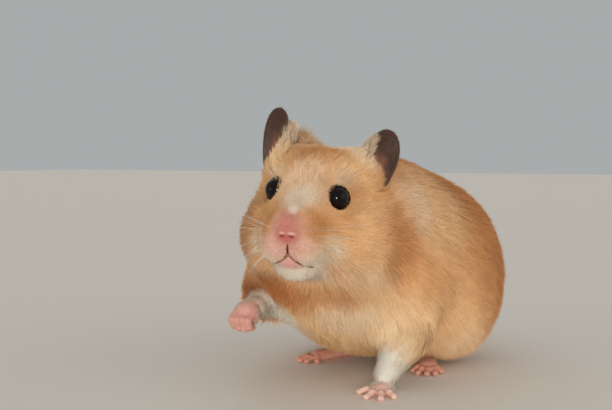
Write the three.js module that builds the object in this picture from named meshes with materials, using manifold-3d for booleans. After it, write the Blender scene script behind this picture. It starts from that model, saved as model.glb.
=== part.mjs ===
// A syrian hamster at life size, as a still model. It stands on its left forefoot and both hind feet, with its
// belly touching the floor, the right forepaw lifted, and the head turned a little to its left.
// Millimetres, +Z up. -Y is the way the trunk faces and +X is the animal's left. The floor is at Z = 0.
// Each solid reaches out to the tips of the coat. The flesh is one smooth union of blobs, parted by thin cuts.
import * as THREE from "three";
import { mergeVertices } from "three/addons/utils/BufferGeometryUtils.js";
import Module from "manifold-3d";

const wasm = await Module();
wasm.setup();

const CUT = 0.4; // width of the cut between neighbouring pieces
const BODY_CELL = 5.8; // mesh size on the trunk and hind legs
const HEAD_CELL = 2.75; // mesh size on the head
const FORELEG_CELL = 3;
const SIDES = { left: 1, right: -1 };

// ---------------------------------------------------------------- driving sizes

const HEAD = { centre: [1.4, -35.5, 50.5], yaw: 12, roll: 4.5 };
const EYE = { centre: [8.2, -7.2, 3.1], radius: 3.3 };
const EAR = {
  base: { left: [11.4, 6, 6.4], right: [-11.8, 5.5, 7.6] },
  along: { left: [0.28, 0.7, 1], right: [-0.1, -0.02, 1] },
  faces: [0.72, -0.7, 0],
  length: 18,
  width: 12.5,
  thickness: 0.9,
  cup: 6.5, // radius of the hollow across the ear
  arch: 26, // radius of the bend along it
};
const TRUNK = { centre: [3, 20, 29.6], radii: [31.5, 32.5, 30] };
const NECK_CUT = { at: [-1, -30, 50], normal: [0.2, -0.84, 0.5] };
const NECK_LENGTH = 8;

const DIGIT_SIDES = 5;
const CLAW_LENGTH = 1.6;

// ---------------------------------------------------------------- blobs

const vec = (p) => new THREE.Vector3(...p);
const degrees = THREE.MathUtils.degToRad;

// An ellipsoid, as an approximate distance from its surface.
// blend is how far it melts into the blobs before it.
function ellipsoid(centre, radii, blend = 4) {
  const [cx, cy, cz] = centre;
  const [a, b, c] = radii;
  return {
    blend,
    distance({ x, y, z }) {
      const u = (x - cx) / a;
      const v = (y - cy) / b;
      const w = (z - cz) / c;
      const size = Math.hypot(u, v, w);
      return (size * (size - 1)) / Math.max(Math.hypot(u / a, v / b, w / c), 1e-9);
    },
  };
}

// A rod with round ends that tapers from radius ra at a to rb at b.
function taper(a, b, ra, rb, blend = 4) {
  const start = vec(a);
  const axis = vec(b).sub(start);
  const length2 = axis.lengthSq();
  const offset = new THREE.Vector3();
  return {
    blend,
    distance(p) {
      offset.subVectors(p, start);
      const t = THREE.MathUtils.clamp(offset.dot(axis) / length2, 0, 1);
      return offset.addScaledVector(axis, -t).length() - (ra + t * (rb - ra));
    },
  };
}

// The same blob placed by a matrix.
function placed(matrix, blob) {
  const back = matrix.clone().invert();
  const local = new THREE.Vector3();
  return {
    blend: blob.blend,
    distance: (p) => blob.distance(local.copy(p).applyMatrix4(back)),
  };
}

// Two blobs, one on each side of the middle plane.
const pair = (make) => Object.values(SIDES).map(make);

// The smooth union of blobs, as a function that is negative inside.
function union(blobs) {
  return (p) =>
    blobs.reduce((nearest, { blend, distance }) => {
      const d = distance(p);
      const h = Math.max(blend - Math.abs(nearest - d), 0) / blend;
      return Math.min(nearest, d) - (h * h * blend) / 4;
    }, 1e3);
}

// ---------------------------------------------------------------- the flesh

// The head has a frame of its own, with its origin at the middle of the head and its nose towards -Y.
const headFrame = new THREE.Matrix4()
  .makeTranslation(...HEAD.centre)
  .multiply(new THREE.Matrix4().makeRotationZ(degrees(HEAD.yaw)))
  .multiply(new THREE.Matrix4().makeRotationY(degrees(HEAD.roll)));

const headBlobs = [
  ellipsoid([0, 5, 3], [16.5, 16, 14], 8), // cranium
  ...pair((s) => ellipsoid([s * 9.2, 5, 9], [6.6, 7, 6.6], 6)), // roots of the ears
  ...pair((s) => ellipsoid([s * 9.6, 1, -9], [11, 12.5, 11.8], 6)), // cheeks
  taper([0, -3, 1.5], [0, -15.6, -3.6], 9, 5, 6), // forehead and bridge of the nose
  ellipsoid([0, -8, -6.5], [10, 10.5, 8], 6), // muzzle
  ...pair((s) => ellipsoid([s * 3.9, -14, -8.4], [4.8, 5.4, 4.4], 4)), // whisker pads
  ellipsoid([0, -9.6, -13.4], [6, 6.4, 4.8], 4), // chin
].map((blob) => placed(headFrame, blob));

const trunkBlobs = [
  ellipsoid(TRUNK.centre, TRUNK.radii, 1),
  ellipsoid([1.5, 1, 35.5], [25, 26, 28.5], 9), // back
  ellipsoid([0, -12, 34], [24, 25, 25], 16), // shoulders
  ellipsoid([0, -24, 39], [18, 16, 18], 12), // chest
  ellipsoid([-13, -22, 36], [11, 12, 13], 8), // right shoulder, pushed forward by the lifted foreleg
  ...pair((s) => ellipsoid([2 + s * 20, 15, 20], [13, 19, 18.5], 8)), // thighs
];

const FORELEG = {
  left: { shoulder: [16, -13, 26], elbow: [20.5, -18, 15], wrist: [18.5, -27, 4.5] },
  right: { shoulder: [-14, -16, 30], elbow: [-18.5, -23, 22.5], wrist: [-16, -37.5, 22] },
};
const upperArms = Object.values(FORELEG).map(({ shoulder, elbow }) => taper(shoulder, elbow, 10.5, 7, 8));
const forearms = Object.values(FORELEG).map(({ elbow, wrist }) => taper(elbow, wrist, 5.8, 2.9, 4));

// armless leaves out the forearms, which are too thin for the body's coarse mesh.
const armless = union([...trunkBlobs, ...headBlobs, ...upperArms]);
const flesh = union([...trunkBlobs, ...headBlobs, ...upperArms, ...forearms]);
const grownFlesh = (p) => armless(p) - CUT;

// ---------------------------------------------------------------- meshes

// The surface on which a field is zero, as a closed mesh: one vertex for each grid cell that the surface
// crosses, moved onto the surface, and one quad round each grid edge that it crosses.
function surface(field, low, high, cell) {
  const count = high.map((h, i) => Math.ceil((h - low[i]) / cell) + 1);
  const step = [1, count[0], count[0] * count[1]];
  const values = new Float32Array(count[0] * count[1] * count[2]);
  const point = new THREE.Vector3();
  const each = (margin, visit) => {
    for (let k = margin; k < count[2] - 1; k++)
      for (let j = margin; j < count[1] - 1; j++)
        for (let i = margin; i < count[0] - 1; i++) visit(i + j * step[1] + k * step[2], [i, j, k]);
  };
  for (let n = 0; n < values.length; n++) {
    const ijk = [n % count[0], Math.floor(n / step[1]) % count[1], Math.floor(n / step[2])];
    values[n] = field(point.fromArray(ijk.map((x, a) => low[a] + x * cell)));
  }

  const corners = [0, 1, 2, 3, 4, 5, 6, 7].map((c) => [c & 1, (c >> 1) & 1, c >> 2]);
  const edges = corners.flatMap((_, c) =>
    [1, 2, 4].filter((bit) => !(c & bit)).map((bit) => [c, c | bit]),
  );
  const positions = [];
  const vertexOf = new Int32Array(values.length).fill(-1);
  each(0, (n, ijk) => {
    const at = corners.map((c) => values[n + c[0] * step[0] + c[1] * step[1] + c[2] * step[2]]);
    const crossed = edges.filter(([a, b]) => at[a] < 0 !== at[b] < 0);
    if (!crossed.length) return;
    const middle = [0, 1, 2].map((axis) => {
      const shares = crossed.map(([a, b]) =>
        THREE.MathUtils.lerp(corners[a][axis], corners[b][axis], at[a] / (at[a] - at[b])),
      );
      const mean = shares.reduce((sum, x) => sum + x, 0) / crossed.length;
      return low[axis] + (ijk[axis] + mean) * cell;
    });
    vertexOf[n] = positions.length / 3;
    positions.push(...onto(field, vec(middle), cell).toArray());
  });

  const faces = [];
  each(1, (n) =>
    step.forEach((along, axis) => {
      const inside = values[n] < 0;
      if (inside === values[n + along] < 0) return;
      const u = step[(axis + 1) % 3];
      const v = step[(axis + 2) % 3];
      const [a, b, c, d] = [n, n - u, n - u - v, n - v].map((m) => vertexOf[m]);
      faces.push(...(inside ? [a, b, c, a, c, d] : [a, c, b, a, d, c]));
    }),
  );
  return geometry(positions, faces);
}

// Moves a point onto the surface of a field, by at most half a cell.
function onto(field, start, cell) {
  const p = start.clone();
  const probe = new THREE.Vector3();
  const reach = 0.05;
  for (let round = 0; round < 2; round++) {
    const slope = ["x", "y", "z"].map((axis) => {
      const ahead = field(probe.copy(p).setComponent("xyz".indexOf(axis), p[axis] + reach));
      const behind = field(probe.copy(p).setComponent("xyz".indexOf(axis), p[axis] - reach));
      return (ahead - behind) / (2 * reach);
    });
    const steepness = Math.max(Math.hypot(...slope), 0.3);
    p.addScaledVector(vec(slope), -field(p) / steepness ** 2);
  }
  return p.sub(start).clampLength(0, cell / 2).add(start);
}

function geometry(positions, faces) {
  return new THREE.BufferGeometry()
    .setAttribute("position", new THREE.Float32BufferAttribute(positions, 3))
    .setIndex(faces);
}

// A closed tube through rings of equally many points, with a fan over each end.
function tube(rings) {
  const sides = rings[0].length;
  const centre = (ring) => ring.reduce((sum, p) => sum.add(p), new THREE.Vector3()).divideScalar(sides);
  const positions = [...rings.flat(), centre(rings[0]), centre(rings.at(-1))].flatMap((p) => p.toArray());
  const last = (rings.length - 1) * sides;
  const start = rings.length * sides;
  const faces = [];
  for (let i = 0; i < sides; i++) {
    const next = (i + 1) % sides;
    for (let r = 0; r < last; r += sides)
      faces.push(r + i, r + next, r + sides + next, r + i, r + sides + next, r + sides + i);
    faces.push(start, next, i, start + 1, last + i, last + next);
  }
  return geometry(positions, faces);
}

// A round limb along a smooth curve: stations are [place along the curve from 0 to 1, radius].
function limb(points, stations, sides = DIGIT_SIDES, up = new THREE.Vector3(0, 0, 1)) {
  const curve = new THREE.CatmullRomCurve3(points.map(vec));
  const rings = stations.map(([t, radius]) => {
    const centre = curve.getPointAt(t);
    const ahead = curve.getTangentAt(t);
    const across = new THREE.Vector3().crossVectors(up, ahead).normalize();
    const over = new THREE.Vector3().crossVectors(ahead, across);
    return Array.from({ length: sides }, (_, i) => {
      const angle = (2 * Math.PI * i) / sides;
      return centre
        .clone()
        .addScaledVector(across, radius * Math.cos(angle))
        .addScaledVector(over, radius * Math.sin(angle));
    });
  });
  return tube(rings);
}

// ---------------------------------------------------------------- solids

function solid(mesh) {
  const bare = new THREE.BufferGeometry().setAttribute("position", mesh.getAttribute("position"));
  if (mesh.index) bare.setIndex(mesh.index);
  const merged = mergeVertices(bare, 1e-4);
  return new wasm.Manifold(
    new wasm.Mesh({
      numProp: 3,
      vertProperties: new Float32Array(merged.attributes.position.array),
      triVerts: new Uint32Array(merged.index.array),
    }),
  );
}

function meshOf(shape) {
  const { numProp, vertProperties, triVerts } = shape.getMesh();
  const positions = Array.from({ length: (vertProperties.length / numProp) * 3 }, (_, i) => {
    const vertex = Math.floor(i / 3);
    return vertProperties[vertex * numProp + (i % 3)];
  });
  return geometry(positions, Array.from(triVerts));
}

const joined = (shapes) => shapes.reduce((whole, shape) => whole.add(shape));

// A ball stretched to three radii, turned and set in place.
function ball(centre, radii, frame = new THREE.Matrix4(), across = 24) {
  const shape = new THREE.SphereGeometry(1, across, Math.round(across / 2));
  shape.scale(...radii).translate(...centre);
  return solid(shape.applyMatrix4(frame));
}

// Everything on the side of a plane that its normal points to.
function halfSpace(at, normal, shift = 0) {
  const size = 400;
  const shape = new THREE.BoxGeometry(size, size, size).translate(0, 0, size / 2 + shift);
  const up = new THREE.Vector3(0, 0, 1);
  const turn = new THREE.Quaternion().setFromUnitVectors(up, vec(normal).normalize());
  return solid(shape.applyQuaternion(turn).translate(...at));
}

const aboveFloor = halfSpace([0, 0, 0], [0, 0, 1]);

// ---------------------------------------------------------------- ears

const earFrames = Object.fromEntries(
  Object.entries(SIDES).map(([name, side]) => {
    const along = vec(EAR.along[name]).normalize();
    const faces = new THREE.Vector3(side * EAR.faces[0], EAR.faces[1], EAR.faces[2]);
    faces.addScaledVector(along, -faces.dot(along)).normalize();
    const across = new THREE.Vector3().crossVectors(along, faces);
    const frame = new THREE.Matrix4()
      .makeBasis(across, along, faces)
      .setPosition(...EAR.base[name]);
    return [name, frame.premultiply(headFrame)];
  }),
);

// A leaf-shaped ear, hollow on its +Z side, from its root at Y = 0 to its tip.
function earGeometry() {
  const across = 5;
  const rows = 8;
  const root = -0.2;
  const rings = Array.from({ length: rows }, (_, row) => {
    const t = THREE.MathUtils.lerp(root, 1, Math.sin((row / (rows - 1)) * (Math.PI / 2)));
    const y = t * EAR.length;
    const breadth = Math.sqrt(Math.max(1 - ((t - 0.42) / 0.6) ** 2, 0)) * (EAR.width / 2);
    const half = Math.max(breadth, 0.6);
    const sheet = (share, depth) => {
      const angle = (share * half) / EAR.cup;
      const rise = (y - 0.5 * EAR.length) ** 2 / (2 * EAR.arch);
      const radius = EAR.cup + depth;
      return new THREE.Vector3(
        radius * Math.sin(angle),
        y,
        EAR.cup - radius * Math.cos(angle) + rise,
      );
    };
    const shares = Array.from({ length: across + 1 }, (_, i) => (2 * i) / across - 1);
    const inner = shares.map((share) => sheet(share, -EAR.thickness / 2));
    const outer = shares.map((share) => sheet(-share, EAR.thickness / 2));
    return [...outer, ...inner];
  });
  return tube(rings);
}

// ---------------------------------------------------------------- feet

// A digit from its root to the tip of its claw: it rises to a knuckle, comes down on its pad and ends in
// a claw.
function digit(root, tip, radius, rise) {
  const start = vec(root);
  const end = vec(tip);
  const claw = end.clone().sub(start).setLength(CLAW_LENGTH);
  claw.z = -0.5 * radius;
  const knuckle = start.clone().lerp(end, 0.5);
  knuckle.z += rise;
  const points = [start, knuckle, end, end.clone().add(claw)].map((p) => p.toArray());
  const tipAt = 0.8;
  return solid(
    limb(points, [
      [0, radius * 0.9],
      [0.45, radius],
      [tipAt - 0.08, radius * 0.9],
      [tipAt, radius * 0.5],
      [1, 0.16],
    ]),
  );
}

// The sole of a foot flat on the floor, from behind its heel to the front of its palm.
// lift is the height of its middle line.
function sole({ heel, palm, width, height, lift }) {
  const half = width / 2;
  const reach = vec(palm).sub(vec(heel)).setLength(half);
  const ends = [vec(heel).sub(reach), vec(palm), vec(palm).add(reach)];
  const stations = [
    [0, 0.3],
    [0.15, 0.65],
    [0.5, 0.85],
    [0.8, 1],
    [0.94, 0.75],
    [1, 0.3],
  ].map(([t, share]) => [t, share * half]);
  const shape = limb(ends.map((p) => p.toArray()), stations, 8);
  shape.scale(1, 1, (1.2 * height) / width).translate(0, 0, lift);
  return solid(shape).intersect(aboveFloor);
}

// A foot flat on the floor: its sole, and toes spread over a fan of headings.
// A heading is an angle from -Y towards +X, in degrees.
function plantedFoot(foot) {
  const { palm, toes, toeRadius } = foot;
  const digits = toes.map(({ heading, length, spread }) => {
    const angle = degrees(heading);
    const ahead = new THREE.Vector3(Math.sin(angle), -Math.cos(angle), 0);
    const root = vec(palm).addScaledVector(ahead, spread).setZ(toeRadius * 0.95);
    const tip = root.clone().addScaledVector(ahead, length).setZ(toeRadius * 0.8);
    return digit(root.toArray(), tip.toArray(), toeRadius, toeRadius * 0.7);
  });
  return joined([sole(foot), ...digits]).intersect(aboveFloor);
}

const toeFan = (headings, lengths, spread) =>
  headings.map((heading, i) => ({ heading, length: lengths[i], spread }));
const HIND_FOOT = { width: 6, height: 4, lift: 1.7, toeRadius: 1 };
const HIND_TOES = [3, 4.4, 4.8, 4.4, 3];
const FEET = {
  forepaw_left: {
    heel: [18.6, -26.5, 0],
    palm: [18.9, -30, 0],
    width: 5.6,
    height: 3.4,
    lift: 1.4,
    toeRadius: 0.95,
    toes: toeFan([-62, -8, 26, 62], [4, 5.2, 5.4, 4.2], 1.7),
  },
  hind_foot_left: {
    ...HIND_FOOT,
    heel: [15, 13, 0],
    palm: [19.5, 1.5, 0],
    toes: toeFan([-36, -4, 20, 42, 74], HIND_TOES, 2),
  },
  hind_foot_right: {
    ...HIND_FOOT,
    heel: [-10, 10, 0],
    palm: [-15.5, -2, 0],
    toes: toeFan([20, -10, -32, -54, -84], HIND_TOES, 2),
  },
};

const grownFoot = (foot, by) => ({
  ...foot,
  width: foot.width + 2 * by,
  height: foot.height + 2 * by,
  toeRadius: foot.toeRadius + by,
});

// The heel of the lifted forepaw, round the wrist.
const liftedPawHeel = (grow) => {
  const [x, y, z] = FORELEG.right.wrist;
  return ball([x, y - 1.6, z], [3.2 + grow, 3.2 + grow, 3 + grow], undefined, 10);
};

// What the foreleg leaves clear for the lifted forepaw.
const liftedPawRoom = () => {
  const [x, y, z] = FORELEG.right.wrist;
  return liftedPawHeel(CUT).add(ball([x, y - 6.6, z - 1], [6.4, 5.1, 6.2], undefined, 12));
};

// The lifted forepaw: a round palm ahead of the wrist, with its digits curled down and back.
function liftedPaw() {
  const [x, y, z] = FORELEG.right.wrist;
  const palm = [x, y - 4.6, z - 1];
  const shapes = [ball(palm, [4, 3.2, 3.4], undefined, 10), liftedPawHeel(0)];
  for (const share of [-1, -0.36, 0.3, 0.9]) {
    const sideways = palm[0] + share * 2.7;
    const lift = 0.8 * Math.abs(share);
    const curl = [
      [sideways, palm[1] - 1, palm[2] + 0.2],
      [sideways, palm[1] - 3.6, palm[2] - 1.6],
      [sideways, palm[1] - 2.6, palm[2] - 4.6 + lift],
      [sideways, palm[1], palm[2] - 5 + lift],
    ];
    const stations = [
      [0, 1],
      [0.45, 1.2],
      [0.72, 1],
      [0.82, 0.5],
      [1, 0.16],
    ];
    shapes.push(solid(limb(curl, stations, DIGIT_SIDES, new THREE.Vector3(1, 0, 0))));
  }
  return joined(shapes);
}

// ---------------------------------------------------------------- tail

const TAIL = { root: [4, 43, 14], bend: [5, 51, 11], tip: [7, 57, 6], radius: 2.3 };
const tailSolid = () =>
  solid(
    limb([TAIL.root, TAIL.bend, TAIL.tip], [
      [0, TAIL.radius],
      [0.4, TAIL.radius * 0.9],
      [0.75, TAIL.radius * 0.65],
      [0.94, TAIL.radius * 0.4],
      [1, 0.25],
    ]),
  );

// ---------------------------------------------------------------- parting the flesh

const BODY_BOX = [
  [-42, -66, -7],
  [44, 62, 78],
];
const HEAD_BOX = [
  [-30, -68, 20],
  [34, -6, 80],
];
const SPARE = 3; // how far a piece's own fine mesh runs on past the cut that ends it

// The biggest of the separate bodies in a solid.
const largest = (shape) => shape.decompose().sort((a, b) => b.volume() - a.volume())[0];

const body = solid(surface(armless, ...BODY_BOX, BODY_CELL)).intersect(aboveFloor);

// The head and neck part across a plane, and so do the neck and trunk.
const neckSide = (shift) => halfSpace(NECK_CUT.at, NECK_CUT.normal, shift);
const neckNormal = vec(NECK_CUT.normal).normalize();
const neckPlane = new THREE.Plane().setFromNormalAndCoplanarPoint(neckNormal, vec(NECK_CUT.at));
const frontOnly = (field) => (p) => Math.max(field(p), -neckPlane.distanceToPoint(p) - SPARE);
const fineHead = (field) => solid(surface(frontOnly(field), ...HEAD_BOX, HEAD_CELL));

// Each leg parts from the trunk along an ellipsoid round the top of the leg and all that hangs below it.
const LEGS = {
  foreleg_left: { centre: [20.5, -18, 12], radii: [10.5, 13.5, 16.5] },
  foreleg_right: { centre: [-19, -28, 23], radii: [9, 14, 9] },
  hind_leg_left: { centre: [26, 14, 18], radii: [14, 18, 19] },
  hind_leg_right: { centre: [-21, 14, 18], radii: [14, 18, 19] },
};
const legShape = ({ centre, radii }, grow = 0) => ball(centre, radii.map((r) => r + grow), undefined, 16);

function fineForeleg({ centre, radii }) {
  const cutter = ellipsoid(centre, radii);
  const corner = (way) => centre.map((c, i) => c + way * (radii[i] + 2 * SPARE));
  const field = (p) => Math.max(flesh(p), cutter.distance(p) - SPARE);
  return solid(surface(field, corner(-1), corner(1), FORELEG_CELL)).intersect(aboveFloor);
}

const feet = Object.fromEntries(Object.entries(FEET).map(([name, foot]) => [name, plantedFoot(foot)]));
feet.forepaw_right = liftedPaw();
const plantedFeetRoom = Object.values(FEET).map((foot) => plantedFoot(grownFoot(foot, CUT)));
const feetRoom = joined([...plantedFeetRoom, liftedPawRoom()]);

const pieces = { ...feet };
for (const [name, leg] of Object.entries(LEGS)) {
  const whole = name.startsWith("fore") ? fineForeleg(leg) : body;
  pieces[name] = largest(whole.intersect(legShape(leg)).subtract(feetRoom));
}

const legRoom = joined(Object.values(LEGS).map((leg) => legShape(leg, CUT)));
pieces.trunk = largest(body.subtract(neckSide(-NECK_LENGTH)).subtract(legRoom).subtract(feetRoom));
pieces.neck = largest(body.intersect(neckSide(-NECK_LENGTH + CUT)).subtract(neckSide(0)).subtract(legRoom));
pieces.head = fineHead(armless).intersect(neckSide(CUT));

// The ears and tail start a cut's width outside the flesh.
const grownBody = solid(surface(grownFlesh, ...BODY_BOX, BODY_CELL));
const earRoot = fineHead(grownFlesh).add(grownBody);
pieces.tail = largest(tailSolid().subtract(grownBody));
for (const [name, side] of Object.entries(SIDES)) {
  const centre = [side * EYE.centre[0], EYE.centre[1], EYE.centre[2]];
  const eye = (radius) => ball(centre, [radius, radius, radius], headFrame, 12);
  pieces["eye_" + name] = eye(EYE.radius);
  pieces.head = pieces.head.subtract(eye(EYE.radius + CUT));
  pieces["ear_" + name] = largest(solid(earGeometry().applyMatrix4(earFrames[name])).subtract(earRoot));
}

// ---------------------------------------------------------------- the model

const finish = (color, roughness) => new THREE.MeshStandardMaterial({ color, roughness, metalness: 0 });
const COAT = finish(0xc99a66, 0.9);
const PAW = finish(0xdb9c88, 0.6);
const EAR_SKIN = finish(0x5b463e, 0.7);
const CORNEA = finish(0x0a0706, 0.05);
const SKINS = { eye: CORNEA, ear: EAR_SKIN, forepaw: PAW, hind_foot: PAW, tail: PAW };
const materialFor = (name) => SKINS[Object.keys(SKINS).find((start) => name.startsWith(start))] ?? COAT;

const hamster = new THREE.Group();
for (const [name, shape] of Object.entries(pieces)) {
  const mesh = new THREE.Mesh(meshOf(shape), materialFor(name));
  mesh.name = name;
  hamster.add(mesh);
}
// The origin is on the floor below the middle of the model's box.
const box = new THREE.Box3().setFromObject(hamster);
const middle = box.getCenter(new THREE.Vector3());
hamster.position.set(-middle.x, -middle.y, 0);

export default hamster;
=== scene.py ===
"""A Syrian hamster at life size, as a still museum model: skin, eyes, claws, whiskers and a coat of mesh
tufts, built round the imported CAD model. The animal's shape is worked out in the model's millimetres, as in
the CAD, and moved into the frame's metres at the end."""
import collections
import itertools
import math

import bpy
import numpy as np
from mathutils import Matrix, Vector, kdtree


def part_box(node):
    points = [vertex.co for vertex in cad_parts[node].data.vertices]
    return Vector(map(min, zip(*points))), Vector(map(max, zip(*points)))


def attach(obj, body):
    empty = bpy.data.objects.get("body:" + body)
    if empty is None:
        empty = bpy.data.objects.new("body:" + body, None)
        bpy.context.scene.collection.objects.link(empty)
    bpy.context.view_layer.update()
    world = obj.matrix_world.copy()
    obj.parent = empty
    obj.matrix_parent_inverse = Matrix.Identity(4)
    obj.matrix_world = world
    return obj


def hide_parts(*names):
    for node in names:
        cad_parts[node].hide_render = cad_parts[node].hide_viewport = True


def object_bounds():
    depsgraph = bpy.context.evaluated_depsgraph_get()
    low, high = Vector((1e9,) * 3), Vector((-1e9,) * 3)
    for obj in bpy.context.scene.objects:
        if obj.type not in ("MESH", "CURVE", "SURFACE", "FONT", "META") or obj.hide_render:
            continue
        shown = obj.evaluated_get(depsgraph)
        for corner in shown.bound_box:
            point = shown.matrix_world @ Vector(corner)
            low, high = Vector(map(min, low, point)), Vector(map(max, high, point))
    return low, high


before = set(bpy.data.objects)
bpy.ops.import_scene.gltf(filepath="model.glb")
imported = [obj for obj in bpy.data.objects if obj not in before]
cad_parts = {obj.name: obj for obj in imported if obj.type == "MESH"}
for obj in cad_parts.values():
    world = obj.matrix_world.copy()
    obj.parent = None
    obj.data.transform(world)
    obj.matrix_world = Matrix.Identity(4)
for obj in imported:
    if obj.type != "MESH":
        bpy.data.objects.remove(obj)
cad_box = [list(corner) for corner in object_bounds()]

# ---------------------------------------------------------------- places and measures


def turn(axis, degrees):
    """A rotation about "x", "y" or "z"."""
    c, s = math.cos(math.radians(degrees)), math.sin(math.radians(degrees))
    first, second = {"x": (1, 2), "y": (2, 0), "z": (0, 1)}[axis]
    matrix = np.eye(3)
    matrix[first, first] = matrix[second, second] = c
    matrix[first, second], matrix[second, first] = -s, s
    return matrix


def unit(vectors):
    """Vectors made one long."""
    return vectors / np.maximum(np.linalg.norm(vectors, axis=-1, keepdims=True), 1e-9)


def smooth(x, start, stop):
    """0 at start, 1 at stop, with soft ends."""
    t = np.clip((x - start) / (stop - start), 0, 1)
    return t * t * (3 - 2 * t)


def distance(points, centre, radii=1):
    """How far points are from a centre, in millimetres or as a multiple of radii."""
    return np.linalg.norm((points - np.asarray(centre)) / radii, axis=-1)


def from_line(points, a, b):
    """How far points are from the line between a and b, and how far along it, from 0 to 1."""
    axis = np.asarray(b, float) - a
    offset = points - a
    share = np.clip(offset @ axis / (axis @ axis), 0, 1)
    return np.linalg.norm(offset - share[..., None] * axis, axis=-1), share


def line_distance(points, *lines):
    """How far points are from the nearest of several bent lines."""
    return np.min([from_line(points, a, b)[0] for line in lines for a, b in zip(line, line[1:])], 0)


def past_ellipse(q, radii):
    """About how far outside an ellipse or an ellipsoid round the origin places are."""
    q = q / radii
    size = np.linalg.norm(q, axis=-1)
    return size * (size - 1) / np.maximum(np.linalg.norm(q / radii, axis=-1), 1e-9)


def band(x, start, full, fading, stop):
    """0 up to start, 1 from full to fading and 0 from stop, with soft slopes between."""
    return smooth(x, start, full) * smooth(x, stop, fading)


def mirrored(points, side):
    """A line on one side of the head, given for the left."""
    return [(side * x, y, z) for x, y, z in points]


class Place:
    """A frame of its own inside the model: an origin and three axes, the columns of a matrix."""

    def __init__(self, origin=(0, 0, 0), axes=None):
        self.origin = np.array(origin, float)
        self.axes = np.eye(3) if axes is None else np.array(axes, float)

    def inside(self, points):
        return (points - self.origin) @ self.axes

    def outside(self, points):
        return np.asarray(points, float) @ self.axes.T + self.origin

    def direction(self, vector):
        return np.asarray(vector, float) @ self.axes.T


MODEL = Place()
HEAD = Place((1.4, -35.5, 50.5), turn("z", 12) @ turn("y", 4.5))
SIDES = {"left": 1, "right": -1}


def pair(make, centre, *shape):
    """The same thing made on the left and on the right of the head, given for the left."""
    return [make(at, *shape, place=HEAD) for side in SIDES.values() for at in mirrored([centre], side)]


# ---------------------------------------------------------------- blobs
# The shape is a field in millimetres, negative inside. +Z is up, -Y is the way the trunk faces, +X is the
# animal's left, and the floor is at Z = 0.

FAR = 1e3


class Ellipsoid:
    """A blob with a radius along each axis of a place."""

    def __init__(self, centre, radii, blend, place=MODEL):
        self.place = Place(place.outside(centre), place.axes)
        self.radii = np.array(radii, float)
        self.blend = blend
        half = np.linalg.norm(place.axes * self.radii, axis=1)
        self.low, self.high = self.place.origin - half, self.place.origin + half

    def distance(self, points):
        return past_ellipse(self.place.inside(points), self.radii)


class Taper:
    """A rod with round ends, from radius ra at a to rb at b."""

    def __init__(self, a, b, ra, rb, blend, place=MODEL):
        self.a, self.b = place.outside(a), place.outside(b)
        self.ra, self.rb, self.blend = ra, rb, blend
        self.low = np.minimum(self.a, self.b) - max(ra, rb)
        self.high = np.maximum(self.a, self.b) + max(ra, rb)

    def distance(self, points):
        away, share = from_line(points, self.a, self.b)
        return away - (self.ra + share * (self.rb - self.ra))


def chain(points, radii, blend, place=MODEL):
    """Rods end to end along points, with a radius at each."""
    ends = list(zip(points, radii))
    return [Taper(a, b, ra, rb, blend, place) for (a, ra), (b, rb) in zip(ends, ends[1:])]


def melted(near, far, blend):
    """The smooth minimum of two fields."""
    h = np.maximum(blend - np.abs(near - far), 0) / blend
    return np.minimum(near, far) - h * h * blend / 4


def reached(blobs, points):
    """Each blob that reaches any of the points, with those points' numbers."""
    low, high = points.min(0), points.max(0)
    for blob in blobs:
        bottom, top = blob.low - blob.blend - 1.5, blob.high + blob.blend + 1.5
        if (bottom < high).all() and (top > low).all():
            near = np.flatnonzero(((points > bottom) & (points < top)).all(1))
            if len(near):
                yield blob, near


def union(blobs, points, field=None):
    """The smooth union of blobs, melted into a field that is already there."""
    field = np.full(len(points), FAR) if field is None else field
    for blob, near in reached(blobs, points):
        field[near] = melted(field[near], blob.distance(points[near]), blob.blend)
    return field


def carved(blobs, points, field):
    """The field with blobs cut out of it, with softened edges."""
    for blob, near in reached(blobs, points):
        field[near] = -melted(-field[near], blob.distance(points[near]), blob.blend)
    return field


def slope(field, points, reach=0.1):
    """The field's gradient."""
    columns = []
    for axis in np.eye(3) * reach:
        columns.append((field(points + axis) - field(points - axis)) / (2 * reach))
    return np.stack(columns, -1)


def settled(field, points, rounds=2, furthest=0.3):
    """Points moved onto the surface of a field."""
    start = points
    for _ in range(rounds):
        gradient = slope(field, points, 0.05)
        steep = np.maximum((gradient**2).sum(-1), 0.1)
        points = points - gradient * (field(points) / steep)[:, None]
        away = points - start
        far = np.linalg.norm(away, axis=1, keepdims=True)
        points = start + away * np.minimum(1, furthest / np.maximum(far, 1e-9))
    return points


# ---------------------------------------------------------------- flesh and limbs

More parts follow.
